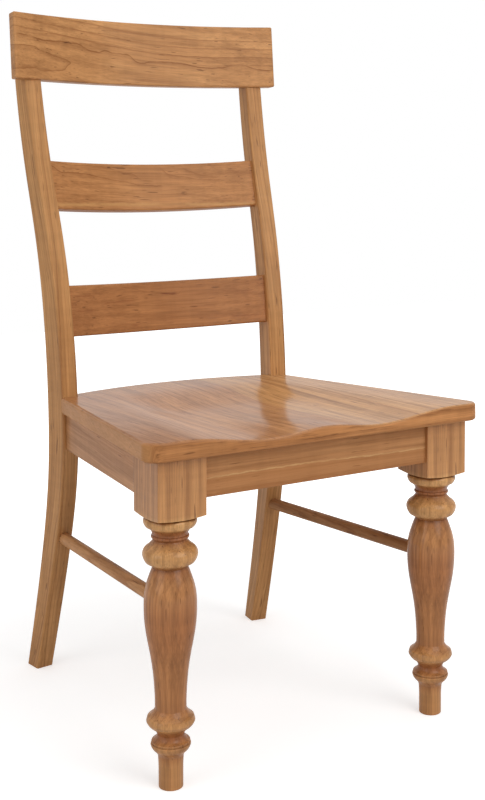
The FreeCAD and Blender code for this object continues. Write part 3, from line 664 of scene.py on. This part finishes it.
def leg_wood(name, pith):
    material, tree = new_material(name)
    place = add(tree, "TexCoord").outputs["Object"]
    height = add(tree, "SeparateXYZ", {0: place}).outputs["Z"]
    # Wood's redness mixed with painted light and shade, by height.
    red_and_shade = hand_curve(tree, height, REDNESS_AND_SHADE)
    ground = mix(tree, red_and_shade, GOLDEN_AND_LIT, REDDISH_AND_SHADED)
    ring_share = remap(tree, red_and_shade, 0.1, 0.5, 0.15, 0.60)
    return finish_wood(material, grain_vector(tree, ALONG_Z, pith), ground, spacing=0.008,
                       rings=ring_share, coat=0.4, contrast=1.35, groove_shade=0.85)


for side, sign in SIDES:
    low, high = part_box("front_leg_" + side)
    middle = (low + high) / 2
    pith = (middle.x - LEG_PITH_LEFT, middle.y + LEG_PITH_BACK, 0.0)
    give("front_leg_" + side, leg_wood("leg_wood_" + side, pith))

# %% [markdown]
# ## The seat frame and stretchers
#
# The frame narrows to the back, so the side aprons' pattern is turned to their own line.
# The front apron has a pale line along it, and the wood under the line is redder. The stretchers
# turn by only 3 degrees, so their grain is left to run straight back. The left one is paler than the
# right, whose darker ground is painted shade for the shade under the seat.

# %% Aprons and stretchers
FRONT_APRON = screen(178, 128, 84)
FRONT_PITH = (0.0, -0.22, 0.36)
LOWER_STRIP = screen(168, 108, 62)
PALE_LINE_COLOUR = screen(208, 164, 112)
REAR_APRON = screen(180, 130, 84)
SIDE_APRON = screen(176, 128, 88)
SIDE_TURN = 7.7
LEFT_STRETCHER = screen(192, 142, 96)
RIGHT_STRETCHER_SHADED = screen(166, 120, 80)

front_wood, tree = new_material("front_apron_wood")
place = add(tree, "TexCoord").outputs["Object"]
PALE_LINE = ((-210, 400.5), (-110, 402), (-34, 402), (48, 400.5), (134, 399), (210, 400))
pale_line, above_pale_line = drawn_line(tree, place, PALE_LINE, 0.0016, 0.0, 0.75, 0.02)
strip = remap(tree, above_pale_line, -0.002, 0.002, 0.35, 0.0)
marks = [(strip, LOWER_STRIP), (pale_line, PALE_LINE_COLOUR)]
front_vector = grain_vector(tree, ALONG_X, FRONT_PITH)
finish_wood(front_wood, front_vector, FRONT_APRON, spacing=0.008, rings=0.35, coat=0.12,
            marks=marks)
give("apron_front", front_wood)
give("apron_rear", wood("rear_apron_wood", ALONG_X, (0.0, 0.24, 0.36),
                        ground=REAR_APRON, spacing=0.008, rings=0.35))
for side, sign in SIDES:
    turn = (0, 0, math.radians(-90 - sign * SIDE_TURN))
    give("apron_" + side, wood("apron_wood_" + side, turn, (sign * 0.18, 0.0, 0.37),
                               ground=SIDE_APRON, spacing=0.008, rings=0.35, coat=0.12))
    # The right stretcher's darker ground is painted shade.
    ground = LEFT_STRETCHER if side == "left" else RIGHT_STRETCHER_SHADED
    give("stretcher_" + side, wood("stretcher_wood_" + side, ALONG_Y,
                                   (sign * 0.17, 0.0, 0.22), ground=ground, coat=0.10))

# %% [markdown]
# ## The seat
#
# Five boards run from front to back, each from its own part of the log. On the front edge
# the photograph shows long streaks along the edge, so there the pattern is turned: a mask
# from the surface's own normal picks the front, and blends the two directions of grain
# where the edge is rounded. The same mask gives the front edge one tone over all the boards
# and holds the dark streaks on it, which are drawn freely in the photograph's manner. The
# side edges lean to one tone of their own. The top has the most lacquer, the edges less.

# %% Seat boards
SEAT_EDGE = screen(188, 131, 82)
SEAT_SIDE = screen(196, 142, 90)
EDGE_COAT = 0.12
TOP_COAT = 0.5
EDGE_STREAKS = (((-150, 448), (-110, 447), (-60, 447), (-20, 445)),
                ((-60, 441), (0, 440), (70, 441), (120, 440)),
                ((20, 448), (60, 447), (100, 447)), ((120, 452), (150, 450), (190, 450)),
                ((-230, 452), (-190, 451), (-150, 450)))
SEAT_EDGE_PITH = (0.0, -0.25, 0.40)


def edge_streak(tree, place, points, front):
    mask = drawn_line(tree, place, points, 0.0013, 0.4, 0.6, 0.02)[0]
    return maths(tree, "MULTIPLY", mask, front)


def seat_wood(index, pith, ground):
    material, tree = new_material("seat_wood_%d" % index)
    vector = grain_vector(tree, ALONG_Y, pith)
    edge_vector = grain_vector(tree, ALONG_X, SEAT_EDGE_PITH)
    normal = add(tree, "NewGeometry").outputs["Normal"]
    facing = add(tree, "VectorMath", {0: normal, 1: (0.0, -1.0, 0.0)},
                 operation="DOT_PRODUCT").outputs["Value"]
    front = remap(tree, facing, 0.55, 0.85)
    inputs = {0: front, 4: vector, 5: edge_vector}
    blended = add(tree, "Mix", inputs, data_type="VECTOR").outputs[1]
    edge_ground = mix(tree, front, ground, SEAT_EDGE)
    place = add(tree, "TexCoord").outputs["Object"]
    marks = [(edge_streak(tree, place, points, front), FLECK) for points in EDGE_STREAKS]
    side = maths(tree, "ABSOLUTE", add(tree, "SeparateXYZ", {0: normal}).outputs["X"])
    marks.append((remap(tree, side, 0.6, 0.9, 0.0, 0.45), SEAT_SIDE))
    facing_up = add(tree, "SeparateXYZ", {0: normal}).outputs["Z"]
    coat = remap(tree, facing_up, 0.3, 0.8, EDGE_COAT, TOP_COAT)
    finish_wood(material, blended, edge_ground, spacing=0.010, rings=0.5, contrast=1.3,
                paler=0.3, marks=marks)
    tree.links.new(coat, tree.nodes["Principled BSDF"].inputs["Coat Weight"])
    return material


# Painted sheen: the grounds grow mostly paler from left to right for the reflections on the seat,
# over each board's own tone.
SEAT_GROUNDS_AND_SHEEN = ((170, 118, 74), (184, 131, 85), (180, 128, 83), (196, 146, 94), (200, 150, 98))
SEAT_PITHS = ((-0.30, 0.0, 0.36), (-0.08, 0.0, 0.30), (0.05, 0.0, 0.52), (0.06, 0.0, 0.33),
              (0.26, 0.0, 0.38))
for index, (ground, pith) in enumerate(zip(SEAT_GROUNDS_AND_SHEEN, SEAT_PITHS), start=1):
    give("seat_board_%d" % index, seat_wood(index, pith, screen(*ground)))

# %% [markdown]
# ## What the sitter never sees
#
# Corner blocks are bare, paler wood, because nobody lacquers the inside of a seat frame.
# Dowels are pale too. The plugs in the posts' rear faces are lacquered with the back, and
# their grain lies across the posts'.

# %% Blocks, dowels and plugs
BARE = screen(206, 170, 126)
BARE_RING = screen(170, 128, 86)
PLUG = screen(176, 124, 78)
for end, depth in (("front", 1), ("rear", -1)):
    for side, sign in SIDES:
        turn = (0, 0, math.radians(45 * sign * depth))
        name = "corner_block_%s_%s" % (end, side)
        give(name, wood("block_wood_%s_%s" % (end, side), turn, (sign * 0.16, 0.0, 0.36),
                        ground=BARE, ring=BARE_RING, coat=0.0))
give("apron_dowels", wood("dowel_wood", ALONG_Y, (0.18, 0.0, 0.39), ground=BARE,
                          ring=BARE_RING, coat=0.0))
give("crest_plugs", wood("plug_wood", ALONG_X, (0.0, 0.29, 0.95), ground=PLUG, rings=0.4))

# %% [markdown]
# ## Screws
#
# Zinc-plated steel is a metal with a faint yellow cast. Fine noise in its roughness
# breaks the highlight up, as the plating does.

# %% Steel
ZINC_DARK = screen(186, 182, 166)
ZINC_LIGHT = screen(214, 210, 198)


def zinc_steel(name):
    material, tree = new_material(name)
    place = add(tree, "TexCoord").outputs["Object"]
    grain = add(tree, "TexNoise", {"Vector": place, "Scale": 900.0, "Detail": 3.0}).outputs[0]
    colour = mix(tree, remap(tree, grain, 0.3, 0.7), ZINC_DARK, ZINC_LIGHT)
    shader = tree.nodes["Principled BSDF"]
    tree.links.new(colour, shader.inputs["Base Color"])
    tree.links.new(remap(tree, grain, 0.3, 0.7, 0.24, 0.42), shader.inputs["Roughness"])
    shader.inputs["Metallic"].default_value = 1.0
    return material


steel = zinc_steel("zinc_steel")
for node in ("corner_block_screws", "seat_screws", "crest_screws"):
    give(node, steel)

# %% [markdown]
# ## The studio
#
# The photograph's background is pure white. That white must not come from stronger lamps,
# or the wood would wash out. Instead the world and the floor show as white to the camera
# and to reflections only, while the light that reaches the wood stays at a plain level.

# %% World
LIGHT_ON_WOOD = 0.46
WHITE_SHOWN = 1.0

world = bpy.data.worlds.new("studio")
world.use_nodes = True
bpy.context.scene.world = world
sky = world.node_tree
sky.nodes.clear()
rays = add(sky, "LightPath").outputs
seen = maths(sky, "MAXIMUM", rays["Is Camera Ray"],
             maths(sky, "MAXIMUM", rays["Is Glossy Ray"], rays["Is Transmission Ray"]))
lighting = add(sky, "Background", {"Color": (1, 1, 1, 1), "Strength": LIGHT_ON_WOOD})
showing = add(sky, "Background", {"Color": (1, 1, 1, 1), "Strength": WHITE_SHOWN})
chosen = add(sky, "MixShader", {0: seen, 1: lighting.outputs[0], 2: showing.outputs[0]})
add(sky, "OutputWorld", {"Surface": chosen.outputs[0]})
print("world strength on the wood:", LIGHT_ON_WOOD)

# %% [markdown]
# The floor keeps the chair's shadow. Close to the chair it glows only in part, so that the
# shadow shows, and further out it glows in full and melts into the white behind.

# %% Floor
FLOOR_SIZE = 8.0
FLOOR_PAINT = screen(226, 226, 226)
NEAR_CHAIR = 0.35
OUT_OF_SHADOW = 1.3
NEAR_GLOW = 0.52
floor_mesh = bpy.data.meshes.new("floor")
shape = bmesh.new()
bmesh.ops.create_grid(shape, x_segments=1, y_segments=1, size=FLOOR_SIZE / 2)
shape.to_mesh(floor_mesh)
shape.free()
floor = bpy.data.objects.new("floor", floor_mesh)
bpy.context.scene.collection.objects.link(floor)

paint, tree = new_material("white_floor")
path = add(tree, "LightPath").outputs
looked_at = maths(tree, "MAXIMUM", path["Is Camera Ray"], path["Is Glossy Ray"])
place = add(tree, "TexCoord").outputs["Object"]
away = add(tree, "VectorMath", {0: place}, operation="LENGTH").outputs["Value"]
glow = remap(tree, away, NEAR_CHAIR, OUT_OF_SHADOW, NEAR_GLOW, 1.0)
shader = tree.nodes["Principled BSDF"]
shader.inputs["Base Color"].default_value = FLOOR_PAINT
shader.inputs["Roughness"].default_value = 0.9
shader.inputs["Specular IOR Level"].default_value = 0.0
shader.inputs["Emission Color"].default_value = (1, 1, 1, 1)
tree.links.new(maths(tree, "MULTIPLY", looked_at, glow), shader.inputs["Emission Strength"])
floor_mesh.materials.append(paint)
print("floor", FLOOR_SIZE, "m wide")

# %% [markdown]
# Three large, dim discs light the chair: one overhead, one in front and one at the left.
# Large lamps keep the shadows soft and the highlights on the lacquer broad.

# %% Lamps
def softbox(name, place, aim, size, power):
    data = bpy.data.lights.new(name, "AREA")
    data.shape = "DISK"
    data.size = size
    data.energy = power
    lamp = bpy.data.objects.new(name, data)
    lamp.location = place
    lamp.rotation_euler = (aim - lamp.location).to_track_quat("-Z", "Y").to_euler()
    bpy.context.scene.collection.objects.link(lamp)
    print(name, power, "W")


seat_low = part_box("seat_board_3")[0]
crest_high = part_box("crest_rail")[1]
centre = (seat_low + crest_high) / 2
softbox("overhead", place=(0.3, -0.2, 3.0), aim=centre, size=2.6, power=14)
softbox("front_key", place=(0.6, -2.3, 1.95), aim=centre, size=2.2, power=33)
softbox("left_fill", place=(-3.0, -0.5, 1.5), aim=centre, size=2.4, power=21)

# %% [markdown]
# ## Finish
#
# The render keeps colours as they are written, so the view transform is Standard.

# %% View
bpy.context.scene.view_settings.view_transform = "Standard"
